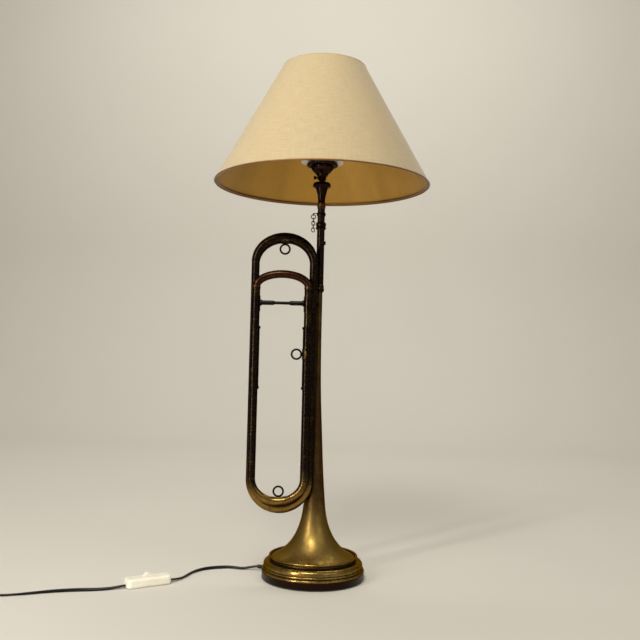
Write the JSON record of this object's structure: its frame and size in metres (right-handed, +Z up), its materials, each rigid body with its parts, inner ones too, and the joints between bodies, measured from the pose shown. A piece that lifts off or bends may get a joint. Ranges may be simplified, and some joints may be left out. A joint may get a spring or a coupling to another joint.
{
  "type": "bugle table lamp",
  "caption": "Field bugle made into a table lamp: bell down on a turned base, tuning slide, lanyard rings and chain, cone shade, flex with in-line switch and plug.",
  "frame": {"origin": "centre of the base's underside, on the axis of the bell and the shade", "axes": "+Z up along the bell towards the shade, +X to the right seen from the front, -Y towards the side of the two loops of tubing"},
  "size_m": [0.6435, 0.3, 0.7089],
  "materials": {
    "felt": "felt",
    "dark_plinth": "ebonised, waxed",
    "bright_brass": "worn antique brass",
    "bell_brass": "antique brass, darker up the stem",
    "dark_brass": "dark brown patina, polished high spots",
    "red_brass": "reddish brown gilding metal",
    "black_metal": "blackened brass",
    "steel": "zinc plated",
    "bakelite": "dark brown moulded",
    "ceramic": "glazed",
    "shade_fabric": "cream slubbed linen",
    "gold_lining": "satin gold",
    "white_enamel": "enamelled",
    "flex_pvc": "smooth",
    "white_plastic": "smooth",
    "black_plastic": "fine texture",
    "nickel": "plated"
  },
  "bodies": {
    "lamp": {"base_felt": "felt", "base_moulding": "bright_brass", "base_plinth": "dark_plinth", "base_relief": "flex_pvc", "bell": "bell_brass", "bell_rim": "bright_brass", "centre_contact": "bright_brass", "chain_collar": "black_metal", "conduit_rod": "steel", "cord_rings": "black_metal", "cup_bush": "steel", "flex_coil": "flex_pvc", "flex_tail": "flex_pvc", "flex_to_coil": "flex_pvc", "flex_to_switch": "flex_pvc", "front_bottom_bow": "dark_brass", "front_tubes": "dark_brass", "grip_screw": "dark_brass", "holder_body": "bakelite", "holder_cap": "dark_brass", "holder_insulator": "ceramic", "holder_nipple": "dark_brass", "holder_nut": "dark_brass", "internal_flex": "flex_pvc", "mouthpiece": "dark_brass", "mouthpiece_band": "red_brass", "mouthpipe": "dark_brass", "plug_body": "black_plastic", "plug_pins": "nickel", "rear_bottom_bow": "dark_brass", "rear_left_tube": "dark_brass", "rear_right_tube": "dark_brass", "rear_top_bow": "dark_brass", "receiver_collar": "dark_brass", "ring_feet": "bright_brass", "rod_nuts": "steel", "screw_shell": "bright_brass", "shade_ring_nut": "bakelite", "sleeve_rings": "black_metal", "slide_sleeves": "dark_brass", "stays": "dark_brass", "stem_ferrule": "dark_brass", "switch_base": "white_plastic", "switch_cover": "white_plastic", "switch_terminals": "steel", "throat_plug": "dark_plinth"},
    "tuning_slide": {"slide_bow": "red_brass", "slide_legs": "dark_brass", "slide_collars": "dark_brass", "slide_brace": "black_metal"},
    "shade": {"shade_cover": "shade_fabric", "shade_lining": "gold_lining", "shade_wires": "gold_lining", "shade_spider": "white_enamel"},
    "rocker": {"switch_rocker": "white_plastic"},
    "chain_ring": {"chain_ring": "black_metal"},
    "chain_link_1": {"chain_link_1": "black_metal"},
    "chain_link_2": {"chain_link_2": "black_metal"},
    "chain_link_3": {"chain_link_3": "black_metal"},
    "chain_link_4": {"chain_link_4": "black_metal"}
  },
  "joints": [
    {"name": "tuning_slide_pull", "type": "slide", "parent": "lamp", "child": "tuning_slide", "axis": [0, 0, 1], "range_m": [-0.016, 0.034]},
    {"name": "shade_turn", "type": "hinge", "parent": "lamp", "child": "shade", "pos_m": [0, 0, 0.5749], "axis": [0, 0, 1], "continuous": true},
    {"name": "rocker_tip", "type": "hinge", "parent": "lamp", "child": "rocker", "pos_m": [-0.2133, -0.05912, 0.0095], "axis": [-0.5373, 0.8434, 0], "range_deg": [0, 14]},
    {"name": "chain_ring_swing", "type": "hinge", "parent": "lamp", "child": "chain_ring", "pos_m": [-0.0108, 0, 0.4994], "axis": [0, 1, 0], "range_deg": [-3, 50]},
    {"name": "chain_link_1_swing", "type": "hinge", "parent": "chain_ring", "child": "chain_link_1", "pos_m": [-0.0108, 0, 0.49477], "axis": [1, 0, 0], "range_deg": [-60, 60]},
    {"name": "chain_link_2_swing", "type": "hinge", "parent": "chain_link_1", "child": "chain_link_2", "pos_m": [-0.0108, 0, 0.49016], "axis": [0, 1, 0], "range_deg": [-5, 60]},
    {"name": "chain_link_3_swing", "type": "hinge", "parent": "chain_link_2", "child": "chain_link_3", "pos_m": [-0.0108, 0, 0.48555], "axis": [1, 0, 0], "range_deg": [-60, 60]},
    {"name": "chain_link_4_swing", "type": "hinge", "parent": "chain_link_3", "child": "chain_link_4", "pos_m": [-0.0108, 0, 0.48094], "axis": [0, 1, 0], "range_deg": [-12, 60]}
  ]
}
